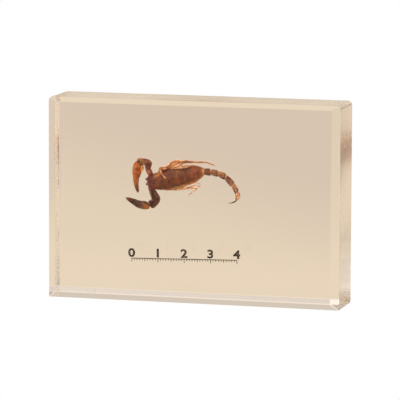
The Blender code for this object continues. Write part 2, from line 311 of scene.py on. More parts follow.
def paint(piece, colour, *coats):  # the colour that a part dried to, kept on its mesh, and coats over it: more colours, and in places painted shade and painted highlights
    tone = piece.data.attributes.get("tone") or piece.data.attributes.new("tone", "FLOAT_COLOR", "POINT")
    for point, vertex in zip(tone.data, piece.data.vertices):
        mixed = Vector(cuticleTones[colour])
        for accent, share in coats:
            mixed = mixed.lerp(Vector(cuticleTones[accent]), share(vertex))
        point.color = (*mixed, 1.0)


def fade(value, start, end):  # 0 at start, 1 at end, smooth between them
    amount = min(max((value - start) / (end - start), 0.0), 1.0)
    return amount * amount * (3.0 - 2.0 * amount)


def onLines(sides, lines, share):  # the share along some lengthwise lines of a chain, nothing between them
    return lambda vertex: share if vertex.index % sides in lines else 0.0


def onRings(sides, rings, share):
    return lambda vertex: share if vertex.index // sides in rings else 0.0


def pastRings(sides, start, end, share=1.0):
    return lambda vertex: share * fade(vertex.index // sides, start, end)


def spot(middle, edge, core, share):
    return lambda vertex: share * fade((vertex.co / mm - Vector(middle)).length, edge, core)


def growPlain(name, rings, sides, tone, flatness=1.0, levels=2):  # a chain of one colour, already soft
    piece = growChain(name, rings, sides, flatness)
    paint(piece, tone)
    soften(piece, levels)
    return piece


def keelPoints(chain, sides, lines, rings):  # places and directions along a chain's keels
    found = []
    corners = [vertex.co.copy() for vertex in chain.data.vertices]
    middles = [sum(corners[first:first + sides], Vector()) / sides for first in range(0, len(corners), sides)]
    starts = [ring for ring in rings if ring + 1 in rings]
    for ring, line, share in product(starts, lines, (0.0, 1 / 3, 2 / 3)):
        corner = ring * sides + line
        point = corners[corner].lerp(corners[corner + sides], share)
        middle = middles[ring].lerp(middles[ring + 1], share)
        found.append((middle.lerp(point, 0.95), (point - middle).normalized()))
    return found


def addPoints(name, points, tone, sides, width, height, tip=0.3):  # grains, teeth or hairs, a small cone each
    cluster = None
    for place, outward in points:
        cone = {"vertices": sides, "radius1": width * mm, "radius2": width * tip * mm, "depth": height * mm,
            "location": place, "rotation": outward.to_track_quat("Z", "Y").to_euler()}
        if cluster:
            bpy.ops.mesh.primitive_cone_add(**cone)
        else:
            cluster = addShape("cone", name, **cone)
            setMode("EDIT")
    setMode("OBJECT")
    bpy.ops.object.shade_smooth()
    paint(cluster, tone)
    return cluster


def makeBead(place, radius, stretch, segments):  # a small ball drawn out along the axes
    bead = addShape("uv_sphere", "bead", segments=segments, ring_count=8, radius=radius * mm, location=place)
    setMode("EDIT")
    bpy.ops.transform.resize(value=stretch, center_override=place)
    setMode("OBJECT")
    bpy.ops.object.shade_smooth()
    return bead


def merge(pieces, name):
    pick(*pieces)
    bpy.ops.object.join()
    pieces[0].name = pieces[0].data.name = name
    return pieces[0]


def between(start, end, share):
    return tuple(a + (b - a) * share for a, b in zip(start, end))


def stepsAlong(rings, start, end, count):  # even steps along a chain: ring, share of the way on, place
    for index in range(count):
        along = start + (end - start) * index / (count - 1)
        low = int(along)
        yield low, along - low, between(rings[low], rings[low + 1], along - low)


cuticleTones = {  # dried colours, with the tones for painted shade and painted highlights, linear
    "carapace": (0.175, 0.045, 0.009),
    "plate": (0.172, 0.041, 0.008),
    "plateRear": (0.3, 0.08, 0.014),
    "plateRim": (0.235, 0.066, 0.017),
    "smudge": (0.54, 0.22, 0.055),
    "belly": (0.42, 0.2, 0.06),
    "flank": (0.66, 0.33, 0.09),
    "flankFoldShade": (0.5, 0.15, 0.02),
    "mouth": (0.17, 0.025, 0.014),
    "claw": (0.47, 0.13, 0.014),
    "clawTip": (0.16, 0.044, 0.018),
    "clawRoot": (0.38, 0.15, 0.035),
    "clawDark": (0.085, 0.03, 0.008),
    "lobe": (0.85, 0.42, 0.13),
    "patella": (0.25, 0.11, 0.017),
    "patellaRoot": (0.22, 0.045, 0.018),
    "femur": (0.175, 0.036, 0.01),
    "lowArm": (0.034, 0.01, 0.006),
    "leg": (0.8, 0.35, 0.09),
    "legPale": (1.0, 0.66, 0.38),
    "legTip": (0.4, 0.23, 0.08),
    "legJointDarkAndShade": (0.3, 0.112, 0.032),
    "tail": (0.26, 0.09, 0.026),
    "tailEnd": (0.6, 0.28, 0.13),
    "tailDark": (0.12, 0.03, 0.012),
    "vesicle": (0.72, 0.4, 0.22),
    "gapDarkAndShade": (0.09, 0.022, 0.01),
    "keelHighlight": (0.48, 0.15, 0.05),
    "sting": (0.07, 0.03, 0.02),
}

# The trunk: soft skin, seven back plates over it and five belly plates under it
trunk = {
    "plates": ((-13.1, 44.15, 3.35), (-11.2, 44.8, 3.5), (-9.2, 45.3, 3.5), (-6.9, 45.9, 3.45),
        (-4.4, 46.7, 3.35), (-1.8, 47.45, 3.0), (0.7, 47.95, 2.25), (2.6, 48.2, 1.25)),
    "skin": ((-13.1, 43.95, 3.25), (-11.2, 44.6, 3.6), (-9.2, 45.1, 3.75), (-6.9, 45.65, 3.85),
        (-4.4, 46.35, 3.9), (-1.8, 47.15, 3.55), (0.7, 47.75, 2.75), (2.6, 48.1, 1.5)),
    "flatness": 0.62,
    "skinFlatness": 0.45,
    "skinDepth": 0.5,
    "bellyDepth": 0.35,  # how far the belly plates stand out past the skin
    "sides": 24,
    "plateWall": 0.1,
    "ridge": 0.16,
    "sideRidge": 0.07,
    "fold": 0.1,
    "plateOverlap": 0.35,
    "plateEdge": 0.55,  # where a plate ends at the flank
    "plateProfile": ((-0.12, 0.94), (0.25, 0.985), (0.62, 1.01), (0.9, 1.035), (1.0, 1.03)),
    "skinProfile": ((0.0, 0.94), (0.3, 1.0), (0.7, 1.0)),
    "smudges": (("smudge", (-6.6, -2.2, 47.9), 1.5), ("plateRear", (-0.8, -1.9, 46.0), 1.6),
        ("mouth", (-10.4, -2.3, 46.9), 1.9), ("gapDarkAndShade", (-3.2, -2.3, 45.7), 0.9)),
}


def swollen(front, rear, profile):
    for share, swell in profile:
        x, z, radius = between(front, rear, share)
        yield share, x, z, radius * swell


def makeFlankSkin(look):
    sides, depth, edges = look["sides"], look["skinDepth"], look["skin"]
    rings = [(x, depth, z, radius) for front, rear in zip(edges, edges[1:])
        for share, x, z, radius in swollen(front, rear, look["skinProfile"])]
    x, z, radius = edges[-1]
    rings.append((x + 0.3, depth * 0.5, z, radius * 0.8))
    skin = growChain("flankSkin", rings, sides, look["skinFlatness"])
    folds = range(1, sides, 2)
    raiseLines(skin, sides, folds, -look["fold"])
    # Painted shade in the skin's folds and at the pinches between its segments.
    paint(skin, "flank", ("flankFoldShade", onRings(sides, range(0, len(rings), 3), 0.45)),
        ("flankFoldShade", onLines(sides, folds, 0.35)))
    soften(skin)
    return skin


def makePlate(front, rear, look, side):  # side -1 is the back, 1 the belly
    sides, back = look["sides"], look["sides"] // 2
    depth = look["bellyDepth"] if side > 0 else 0.0
    rings = [(x + look["plateOverlap"] * share, depth, z, radius)
        for share, x, z, radius in swollen(front, rear, look["plateProfile"])]
    plate = growChain("plate", rings, sides, look["flatness"])
    if side < 0:
        raiseLines(plate, sides, (back,), look["ridge"], range(1, 5), 0.4)
        raiseLines(plate, sides, (back - 4, back + 4), look["sideRidge"], range(1, 5), 0.3)
    pick(plate)
    setMode("EDIT")
    chooseInEdit(plate, "FACE", lambda face: len(face.verts) > 4)
    bpy.ops.mesh.delete(type="ONLY_FACE")
    bpy.ops.mesh.select_all(action="SELECT")
    edge = (0.0, look["plateEdge"] * mm, 0.0)
    bpy.ops.mesh.bisect(plane_co=edge, plane_no=(0.0, -side, 0.0), clear_outer=True)
    setMode("OBJECT")
    finishWith(plate, "SOLIDIFY", thickness=look["plateWall"] * mm, offset=-1.0)
    return plate


def backCoats(look, index, front, rear):
    start, length = front[0], rear[0] + look["plateOverlap"] - front[0]
    height, reach = (front[1] + rear[1]) / 2, (front[2] + rear[2]) / 2
    return ("plate" if index < 5 else "plateRear",
        ("plateRim", lambda vertex: fade(vertex.co.x / mm, start + 0.66 * length, start + 0.9 * length)),
        *[(tone, spot(middle, edge, 0.0, 0.6)) for tone, middle, edge in look["smudges"]],
        # painted shade: the plates darken towards their upper and lower edges
        ("gapDarkAndShade", lambda vertex: 0.6 * fade(abs(vertex.co.z / mm - height) / reach, 0.72, 1.0)),
        ("lobe", lambda vertex: 0.8 * fade(vertex.co.x / mm, 2.3, 2.7)))


def makePlates(name, look, first, side):
    plates = []
    edges = look["plates"][first:]
    for index, (front, rear) in enumerate(zip(edges, edges[1:])):
        plates.append(makePlate(front, rear, look, side))
        paint(plates[-1], *(backCoats(look, index, front, rear) if side < 0 else ("belly",)))
        soften(plates[-1])
    return merge(plates, name)


flankSkin = makeFlankSkin(trunk)
backPlates = makePlates("backPlates", trunk, 0, -1)
bellyPlates = makePlates("bellyPlates", trunk, 2, 1)
print("trunk:", len(backPlates.data.polygons), "faces on the back plates")

# The shield over the head and the legs' hips
carapace = {
    "rings": ((-18.7, 0.0, 43.5, 1.3), (-18.35, 0.0, 43.55, 2.05), (-17.6, 0.0, 43.62, 2.45),
        (-16.8, 0.0, 43.72, 2.72), (-15.9, 0.0, 43.83, 2.95), (-15.0, 0.0, 43.95, 3.15),
        (-14.1, 0.0, 44.05, 3.32), (-13.3, 0.0, 44.15, 3.45), (-12.7, 0.0, 44.2, 3.2)),
    "sides": 24,
    "flatness": 0.62,
    "darkFrom": -15.7,  # the front of the shield dried darker and redder
    "darkTo": -17.0,
    "smudges": (("smudge", (-14.2, -1.2, 46.9), 1.7), ("smudge", (-15.3, -1.6, 46.2), 1.0),
        ("plateRear", (-13.7, -2.0, 45.0), 1.3)),
    "furrow": 0.22,
    "crossFurrow": 0.12,  # behind the eyes
    "lobe": 0.12,
    "sideRidge": 0.09,
    "mound": ((-16.3, -1.45, 43.85, 0.42), (-15.95, -1.72, 43.88, 0.6), (-15.3, -1.78, 43.92, 0.6),
        (-14.8, -1.5, 43.96, 0.4)),
    "eyes": ((-15.75, -2.02, 44.3, 0.27), (-15.75, -2.02, 43.46, 0.27), (-18.05, -0.95, 45.02, 0.15),
        (-17.7, -1.02, 45.22, 0.15), (-17.35, -1.02, 45.42, 0.15), (-18.05, -0.95, 42.08, 0.15),
        (-17.7, -1.02, 41.94, 0.15), (-17.35, -1.02, 41.8, 0.15)),
}


def makeCarapace(look):
    sides = look["sides"]
    back = sides // 2
    shield = growChain("carapace", look["rings"], sides, look["flatness"])
    raiseLines(shield, sides, (back - 3, back - 2, back + 2, back + 3), look["lobe"], range(1, 8))
    raiseLines(shield, sides, (back,), -look["furrow"], range(1, 8), 0.5)
    raiseLines(shield, sides, (back - 5, back + 5), look["sideRidge"], range(2, 8), 0.4)
    raiseLines(shield, sides, range(back - 4, back + 5), -look["crossFurrow"], (5,))
    paint(shield, "carapace",
        ("mouth", lambda vertex: fade(vertex.co.x / mm, look["darkFrom"], look["darkTo"])),
        *[(tone, spot(middle, edge, 0.3, 0.7)) for tone, middle, edge in look["smudges"]])
    soften(shield)
    return merge([shield, growPlain("eyeMound", look["mound"], 12, "mouth", 0.9)], "carapace")


carapacePiece = makeCarapace(carapace)
eyes = merge([makeBead(toPlace(eye), eye[3], (1.0, 0.8, 1.0), 14) for eye in carapace["eyes"]], "eyes")

mouthparts = {
    "arms": (((-17.4, -0.2, 44.45, 0.72), (-18.2, -0.2, 44.6, 0.8), (-18.8, -0.2, 44.6, 0.62)),
        ((-17.4, -0.2, 42.95, 0.72), (-18.1, -0.2, 42.75, 0.8), (-18.7, -0.2, 42.7, 0.62))),
    "fingers": (((-18.6, -0.45, 44.75, 0.34), (-19.1, -0.45, 44.7, 0.26), (-19.4, -0.4, 44.4, 0.08)),
        ((-18.6, 0.15, 44.45, 0.34), (-19.05, 0.15, 44.35, 0.24), (-19.3, 0.1, 44.1, 0.08)),
        ((-18.5, -0.45, 42.55, 0.34), (-19.0, -0.45, 42.6, 0.26), (-19.3, -0.4, 42.9, 0.08)),
        ((-18.5, 0.15, 42.85, 0.34), (-18.95, 0.15, 42.95, 0.24), (-19.2, 0.1, 43.2, 0.08))),
}


def makeMouthparts(look):
    parts = [growPlain("arm", rings, 10, "mouth", 0.9) for rings in look["arms"]]
    parts += [growPlain("finger", rings, 10, "clawTip", 0.9) for rings in look["fingers"]]
    return merge(parts, "mouthparts")


mouthPiece = makeMouthparts(mouthparts)

upperForm = {
    "arm": ((-16.6, 0.4, 44.6), (-18.5, 0.0, 48.4), (-18.2, -0.1, 51.0), (-22.6, -0.1, 50.95)),
    "armRadii": (1.15, 1.42, 1.4),
    "armTones": ("mouth", "femur", "patella"),
    # where a glint is painted on the femur
    "glintSpot": (-18.0, -1.0, 47.4),
    "hand": ((-22.6, -0.1, 51.2, 0.7), (-22.45, -0.1, 50.6, 1.3), (-22.4, -0.1, 49.7, 1.72),
        (-22.45, -0.1, 48.7, 1.85), (-22.6, -0.1, 47.6, 1.82), (-22.8, -0.1, 46.3, 1.62),
        (-22.95, -0.1, 45.1, 1.3), (-23.0, -0.1, 44.6, 1.0)),
    "fixedFinger": ((-23.3, -0.1, 46.0, 0.85), (-23.4, -0.1, 44.4, 0.72), (-23.35, -0.1, 43.0, 0.56),
        (-23.1, -0.1, 41.8, 0.46), (-22.8, -0.1, 40.7, 0.35), (-22.5, -0.1, 39.9, 0.25),
        (-22.2, -0.1, 39.35, 0.13)),
    "movableFinger": ((-22.4, -0.1, 45.6, 0.78), (-22.4, -0.1, 44.4, 0.6), (-22.45, -0.1, 43.0, 0.44),
        (-22.35, -0.1, 41.8, 0.36), (-22.2, -0.1, 40.8, 0.3), (-22.05, -0.1, 40.1, 0.22),
        (-21.98, -0.1, 39.55, 0.12)),
    "lobe": ((-21.3, -0.2, 49.9, 0.6), (-20.75, -0.2, 49.1, 0.85), (-20.65, -0.2, 48.2, 0.8),
        (-21.2, -0.2, 47.0, 0.5)),
    "handTones": ("claw", "claw", "clawTip"),
}
lowerForm = {
    "arm": ((-17.2, 0.4, 44.0), (-17.0, 0.2, 40.6), (-14.95, 0.1, 36.7), (-17.7, 0.0, 34.9)),
    "armRadii": (1.4, 1.7, 1.75),
    "armTones": ("mouth", "lowArm", "lowArm"),
    # where a glint is painted on the femur
    "glintSpot": (-18.4, -0.8, 42.4),
    "hand": ((-17.7, 0.0, 34.3, 0.7), (-18.3, 0.0, 34.4, 1.05), (-19.1, 0.0, 34.55, 1.35),
        (-20.1, 0.0, 34.75, 1.48), (-21.2, 0.0, 35.0, 1.5), (-22.3, 0.0, 35.25, 1.4),
        (-23.4, 0.0, 35.6, 1.15), (-23.7, 0.0, 35.7, 0.9)),
    "fixedFinger": ((-22.6, 0.0, 36.05, 0.85), (-23.7, 0.0, 36.45, 0.68), (-24.7, 0.0, 36.85, 0.52),
        (-25.6, 0.0, 37.15, 0.38), (-26.3, 0.0, 37.3, 0.26), (-26.95, 0.0, 37.35, 0.12)),
    "movableFinger": ((-22.8, 0.0, 35.1, 0.8), (-23.8, 0.0, 35.4, 0.62), (-24.7, 0.0, 35.85, 0.48),
        (-25.6, 0.0, 36.35, 0.36), (-26.3, 0.0, 36.75, 0.25), (-26.85, 0.0, 37.05, 0.12)),
    "lobe": ((-18.5, -0.1, 35.4, 0.5), (-19.1, -0.1, 35.7, 0.65), (-20.1, -0.1, 36.0, 0.55),
        (-20.9, -0.1, 36.1, 0.4)),
    "handTones": ("clawRoot", "clawDark", "clawTip"),
}
pedipalps = {  # what both share
    "armProfile": ((0.02, 0.7), (0.13, 0.84), (0.42, 0.94), (0.74, 1.05), (0.92, 1.0)),
    "armSides": 8,
    "keel": 0.1,
    "handSides": 14,
    "handFlatness": 0.85,
    "denticles": 13,
    "denticleSize": 0.1,
    "grain": 0.09,
}


def makeDenticles(finger, other, look):  # small teeth along the edge that closes on the other finger
    points = []
    last = len(other) - 1
    for low, share, here in stepsAlong(finger, 1.0, len(finger) - 1.4, look["denticles"]):
        aim = between(other[min(low, last - 1)], other[min(low + 1, last)], share)
        side = (toPlace(aim) - toPlace(here)).normalized()
        points.append((toPlace(here) + side * here[3] * 0.94 * mm, side))
    return addPoints("teeth", points, "sting", 5, look["denticleSize"], 2.0 * look["denticleSize"], 0.2)


def makePedipalp(name, form, look):
    sides, flatness = look["armSides"], look["handFlatness"]
    rings = limbRings(form["arm"], form["armRadii"], look["armProfile"])
    arm = growChain("arm", rings, sides, 0.92)
    raiseLines(arm, sides, (1, 3, 5, 7), look["keel"], bodiesOf(len(rings)), 0.45)
    # Painted highlights along the keels 3 and 5 and a painted glint on the femur, and painted shade along the
    # lines 1, 2, 6 and 7; the dark rings at the joints are the arm's own colour.
    paint(arm, form["armTones"][0],
        *[(tone, onRings(sides, range(index * 5, index * 5 + 6), 1.0))
            for index, tone in enumerate(form["armTones"])],
        ("patellaRoot", onRings(sides, (10, 11), 0.8)), ("keelHighlight", onLines(sides, (3, 5), 0.35)),
        ("gapDarkAndShade", onLines(sides, (1, 2, 6, 7), 0.45)), ("keelHighlight", spot(form["glintSpot"], 0.8, 0.2, 1.0)),
        ("gapDarkAndShade", onRings(sides, range(0, len(rings), 5), 0.8)))
    handSides = look["handSides"]
    root, body, tip = form["handTones"]
    hand = growChain("hand", form["hand"], handSides, flatness)
    raiseLines(hand, handSides, range(1, handSides, 2), look["keel"] * 0.6, range(1, 7), 0.35)
    paint(hand, root, (body, pastRings(handSides, 1.5, 4.0)),
        (tip, onLines(handSides, (0, 2, 4, 10, 12), 0.4)))
    lobe = growChain("lobe", form["lobe"], 10, flatness)
    paint(lobe, "lobe" if body == "claw" else "clawDark")
    parts = [arm, hand, lobe]
    fingers = ("fixedFinger", "movableFinger")
    for finger in fingers:
        parts.append(growChain(finger, form[finger], 10, flatness))
        raiseLines(parts[-1], 10, (3, 7), look["keel"] * 0.5, range(5), 0.3)
        last = len(form[finger]) - 1
        paint(parts[-1], body, (tip, pastRings(10, 0.1 * last, 0.7 * last)))
    grains = keelPoints(arm, sides, (1, 3, 5, 7), bodiesOf(len(rings)))
    for piece in parts:
        soften(piece)
    parts.append(addPoints("armGrains", grains, form["armTones"][1], 5, look["grain"], look["grain"]))
    for finger, other in (fingers, fingers[::-1]):
        parts.append(makeDenticles(form[finger], form[other], look))
    return merge(parts, name)


upperPedipalp = makePedipalp("upperPedipalp", upperForm, pedipalps)
lowerPedipalp = makePedipalp("lowerPedipalp", lowerForm, pedipalps)
print("pedipalps:", len(upperPedipalp.data.polygons), "faces on the upper one")

legs = {  # joints: hip, then the ends of trochanter, femur, patella, tibia and the foot's two pieces
    "upper": (
        ((-14.6, 1.1, 46.4), (-14.1, -0.2, 47.9), (-11.3, -0.9, 49.3), (-13.8, -1.7, 48.9),
            (-13.0, -2.3, 47.3), (-12.1, -2.5, 46.2), (-11.3, -2.55, 45.3)),
        ((-13.2, 1.1, 46.8), (-12.2, 0.1, 48.4), (-8.6, -0.9, 51.4), (-6.7, -1.0, 51.9), (-4.9, -0.8, 51.7),
            (-3.4, -0.7, 51.9), (-2.2, -0.6, 51.7)),
        ((-12.0, 1.2, 47.0), (-10.9, 0.7, 48.5), (-6.6, 0.4, 51.1), (-3.9, 0.4, 51.4), (-1.1, 0.3, 51.5),
            (3.7, 0.3, 51.6), (6.6, 0.3, 50.6)),
        ((-10.8, 1.2, 47.0), (-9.4, -0.4, 48.6), (-5.0, -1.4, 50.9), (-7.7, -2.2, 49.3), (-4.6, -2.3, 49.5),
            (-2.8, -2.2, 50.0), (-1.1, -2.0, 50.6)),
    ),
    "lower": (
        ((-15.4, 1.1, 42.4), (-14.4, 1.4, 41.3), (-10.4, 1.9, 41.0), (-6.6, 1.8, 41.1), (-3.4, 1.5, 41.8),
            (-0.8, 1.4, 42.7), (0.9, 1.3, 42.5)),
        ((-14.3, 1.2, 42.5), (-12.8, 1.7, 41.8), (-8.2, 2.2, 41.5), (-4.8, 2.1, 41.6), (-2.2, 1.9, 41.8),
            (0.0, 1.6, 41.7), (-2.8, 1.2, 39.4)),
        ((-13.2, 1.3, 42.8), (-11.4, 1.9, 42.5), (-6.6, 2.4, 42.5), (-3.9, 2.2, 43.0), (-2.2, 2.0, 43.6),
            (-1.0, 1.8, 43.9), (0.8, 1.4, 43.5)),
        ((-12.1, 1.4, 43.1), (-9.8, 2.0, 43.2), (-5.2, 2.3, 43.9), (-3.0, 2.1, 44.4), (-1.4, 1.9, 45.0),
            (-0.4, 1.6, 45.2), (1.0, 1.3, 45.5)),
    ),
    "radii": {
        "upper": ((0.56, 0.6, 0.46, 0.36, 0.3, 0.26), (0.66, 0.66, 0.6, 0.42, 0.32, 0.26),
            (0.66, 0.7, 0.66, 0.52, 0.38, 0.3), (0.64, 0.62, 0.52, 0.42, 0.34, 0.26)),
        "lower": ((0.66, 0.66, 0.58, 0.44, 0.32, 0.22), (0.66, 0.66, 0.58, 0.44, 0.3, 0.22),
            (0.64, 0.66, 0.56, 0.42, 0.32, 0.22), (0.62, 0.64, 0.54, 0.4, 0.3, 0.22))},
    "profile": ((0.02, 0.62), (0.13, 0.86), (0.42, 1.0), (0.74, 1.02), (0.92, 0.9)),
    "darkFoot": "upperLeg2",
    # how much painted shade the upper and lower legs get along their shaded lines
    "shade": {"upper": 0.8, "lower": 0.25},
    "sides": 8,
    "flatness": 0.85,
    "keel": 0.05,
    "clawLength": 0.5,
    "clawSpread": 0.3,
}


def makeLeg(name, joints, radii, shade, look):
    sides = look["sides"]
    rings = limbRings(joints, radii, look["profile"])
    last = len(rings)
    leg = growChain(name, rings, sides, look["flatness"])
    raiseLines(leg, sides, (1, 3, 5, 7), look["keel"], bodiesOf(last), 0.3)
    feet = "leg" if name == look["darkFoot"] else "legPale"
    # Painted shade along the lines 0, 1 and 4 and painted highlights along the keels 3 and 5; the dark rings
    # at the joints and the paler feet are the leg's own colour.
    paint(leg, "leg", (feet, pastRings(sides, 0.25 * last, 0.6 * last, 0.85)),
        ("legJointDarkAndShade", onLines(sides, (0, 1, 4), shade)), ("legPale", onLines(sides, (3, 5), 0.6)),
        ("legJointDarkAndShade", onRings(sides, range(0, last, 5), 0.9)))
    soften(leg)
    tip = Vector(joints[-1])
    along = (tip - Vector(joints[-2])).normalized() * look["clawLength"]
    parts = [leg]
    for spread in (-look["clawSpread"], look["clawSpread"]):
        reach = tip + along * 0.5 + Vector((0.0, spread * 0.6, 0.0))
        hook = tip + along + Vector((0.0, spread, -0.22))
        rings = ((*tip, 0.1), (*reach, 0.09), (*hook, 0.03))
        parts.append(growPlain("footClaw", rings, 5, "legTip", levels=1))
    return merge(parts, name)


def makeLegs(look, side):
    made = [makeLeg(f"{side}Leg{index + 1}", joints, radii, look["shade"][side], look)
        for index, (joints, radii) in enumerate(zip(look[side], look["radii"][side]))]
    return merge(made, f"{side}Legs")


upperLegs = makeLegs(legs, "upper")
lowerLegs = makeLegs(legs, "lower")
print("legs:", len(upperLegs.data.polygons) + len(lowerLegs.data.polygons), "faces")

tail = {
    "joints": ((2.6, 0.0, 48.2), (5.4, 0.1, 48.15), (8.1, 0.2, 47.7), (10.9, 0.3, 46.6),
        (13.75, 0.3, 43.75), (15.35, 0.2, 41.0)),
    "radii": (1.18, 1.1, 1.06, 1.02, 0.88),
    "profile": ((0.02, 0.66), (0.13, 0.9), (0.42, 0.98), (0.74, 1.07), (0.93, 1.08)),
    "sag": (0.0, 0.0, 0.04, 0.1, 0.14),  # how far each ring of a piece drops below its axis
    "ringShade": (0.0, 0.0, 0.1, 0.35, 0.55),
    # painted shade on the tail's under side, ring by ring
    "backShade": (0.0, 0.1, 0.3, 0.7, 0.9),
    "sides": 12,
    "flatness": 0.92,
    "keel": 0.11,
    "grain": 0.08,
    "vesicle": ((15.42, 0.2, 41.3, 0.45), (15.5, 0.2, 40.9, 0.72), (15.6, 0.2, 40.3, 0.95),
        (15.55, 0.2, 39.6, 1.0), (15.4, 0.2, 39.0, 0.85), (15.15, 0.1, 38.5, 0.6),
        (14.95, 0.1, 38.1, 0.42)),
    "sting": ((15.1, 0.1, 38.4, 0.5), (14.8, 0.1, 37.85, 0.36), (14.3, 0.05, 37.4, 0.28),
        (13.5, 0.0, 37.08, 0.21), (12.7, 0.0, 36.93, 0.14), (12.0, 0.0, 36.9, 0.07)),
}


def makeTail(look):
    sides = look["sides"]
    keels = range(1, sides, 2)
    rings = limbRings(look["joints"], look["radii"], look["profile"])
    rings = [(x, y, z - look["sag"][index % 5], radius) for index, (x, y, z, radius) in enumerate(rings)]
    stem = growChain("tailRings", rings, sides, look["flatness"])
    raiseLines(stem, sides, keels, look["keel"], bodiesOf(len(rings)), 0.5)
    paint(stem, "tail", ("tailEnd", pastRings(sides, 7.0, 18.0)),
        ("gapDarkAndShade", onRings(sides, range(1, 5), 0.35)),
        # Darker towards each piece's rear end all round, and painted shade on the under side of each piece's
        # rear (lines 7 to 10).
        ("tailDark", lambda vertex: look["ringShade"][vertex.index // sides % 5]),
        ("tailDark", lambda vertex: look["backShade"][vertex.index // sides % 5]
            * onLines(sides, (7, 8, 9, 10), 1.0)(vertex)),
        ("mouth", onRings(sides, (16, 17), 0.8)), ("tailEnd", onRings(sides, range(5, 9), 0.35)),
        ("lobe", onRings(sides, range(0, len(rings), 5), 0.8)))
    bulb = growChain("vesicle", look["vesicle"], sides, look["flatness"])
    paint(bulb, "vesicle", ("tailEnd", onLines(sides, (2, 4, 6, 8, 10), 0.7)))
    sting = growChain("sting", look["sting"], 8)
    paint(sting, "tailEnd", ("sting", pastRings(8, 0.0, 2.5)))
    grains = keelPoints(stem, sides, keels, bodiesOf(len(rings)))
    for piece in (stem, bulb, sting):
        soften(piece)
    studs = addPoints("tailGrains", grains, "tailDark", 5, look["grain"], look["grain"])
    return merge([stem, bulb, sting, studs], "tail")


tailPiece = makeTail(tail)
print("tail:", len(tailPiece.data.polygons), "faces")

# What shows from behind: the legs' hip plates, the breastplate, the combs and the breathing slits
underside = {
    "hips": ((-16.3, 43.9), (-15.3, 43.95), (-14.3, 44.05), (-13.3, 44.15)),
    "hipSpread": 0.75,  # how far each lies from that middle line
    "hipRings": ((0.0, 0.4), (0.35, 0.56), (0.7, 0.66), (1.0, 0.6)),  # share of the way out, radius
    "hipDepth": 1.95,
    "hipFall": 0.75,
    "buttons": ((-13.2, 2.05, 44.1, 0.55), (-12.3, 2.08, 44.5, 0.48), (-12.3, 2.08, 43.75, 0.48)),
    "combs": {
        "upper": ((-11.9, 2.15, 44.7, 0.3), (-11.1, 2.3, 45.5, 0.34), (-10.1, 2.3, 46.3, 0.28),
            (-9.2, 2.2, 46.9, 0.14)),
        "lower": ((-11.9, 2.15, 43.9, 0.3), (-11.0, 2.3, 43.4, 0.34), (-9.9, 2.3, 43.0, 0.28),
            (-8.9, 2.2, 42.8, 0.14))},
    "combTeeth": 16,
    "combTooth": (0.13, 0.75),
    "slits": ((-8.1, 45.6), (-5.8, 46.3), (-3.2, 47.0), (-0.7, 47.6)),
    "slitSpread": 1.5,
    "slitSize": (0.34, 0.09),
}


def makeComb(rings, look, outwards):  # a feeler with a row of flat teeth along its rear edge
    points = []
    for low, share, here in stepsAlong(rings, 0.0, len(rings) - 1.02, look["combTeeth"]):
        heading = (toPlace(rings[low + 1]) - toPlace(rings[low])).normalized()
        rearward = heading.cross(Vector((0.0, outwards, 0.0)))
        points.append((toPlace(here) + rearward * 0.35 * mm, rearward))
    width, length = look["combTooth"]
    teeth = addPoints("combTeeth", points, "flank", 6, width, length, 0.6)
    return [growPlain("combShaft", rings, 8, "belly"), teeth]


def makeHipPlates(look, roots, outwards):
    plates = []
    for (x, middle), (root, *_) in zip(look["hips"], roots):
        z = middle - outwards * look["hipSpread"]
        rings = [(x + (root[0] - x) * share, look["hipDepth"] - look["hipFall"] * share * share,
            z + (root[2] - z) * share, radius) for share, radius in look["hipRings"]]
        plates.append(growPlain("hipPlate", rings, 10, "patella", 0.8))
    return plates


def makeButton(button):  # the breastplate, or one of the two lids behind it
    plate = addShape("cylinder", "plateButton", vertices=10, radius=button[3] * mm, depth=0.3 * mm,
        location=toPlace(button), rotation=(pi / 2, 0.0, 0.0))
    finishWith(plate, "BEVEL", width=0.12 * mm, segments=3)
    bpy.ops.object.shade_smooth()
    paint(plate, "belly")
    return plate


def makeUnderside(look, legRoots):
    parts = []
    for name, outwards in (("upper", -1.0), ("lower", 1.0)):
        parts += makeHipPlates(look, legRoots[name], outwards)
        parts += makeComb(look["combs"][name], look, outwards)
    parts += [makeButton(button) for button in look["buttons"]]
    spread, (long, thin) = look["slitSpread"], look["slitSize"]
    for (x, z), edge in zip(look["slits"], trunk["plates"][2:]):
        out = trunk["bellyDepth"] + edge[2] * trunk["flatness"] * sqrt(1.0 - (spread / edge[2]) ** 2)
        for place in (z - spread, z + spread):
            parts.append(makeBead(toPlace((x, out, place)), long, (thin / long, 0.5, 1.0), 12))
            paint(parts[-1], "gapDarkAndShade")
    return merge(parts, "underside")


undersidePiece = makeUnderside(underside, legs)
print("underside:", len(undersidePiece.data.polygons), "faces")

# Fine hairs on the limbs and the tail
bristles = {
    "routes": (
        *[(form["arm"], form["armRadii"], 7) for form in (upperForm, lowerForm)],
        *[(*leg, 4) for side in ("upper", "lower") for leg in zip(legs[side], legs["radii"][side])],
        (tail["joints"], tail["radii"], 8), (tail["vesicle"][:-1], (0.75, 0.9, 0.95, 0.9, 0.7), 5)),
    "length": 0.62,
    "width": 0.016,
    "lean": 0.55,  # how much they lean towards the limb's end
    "seed": 11,
}


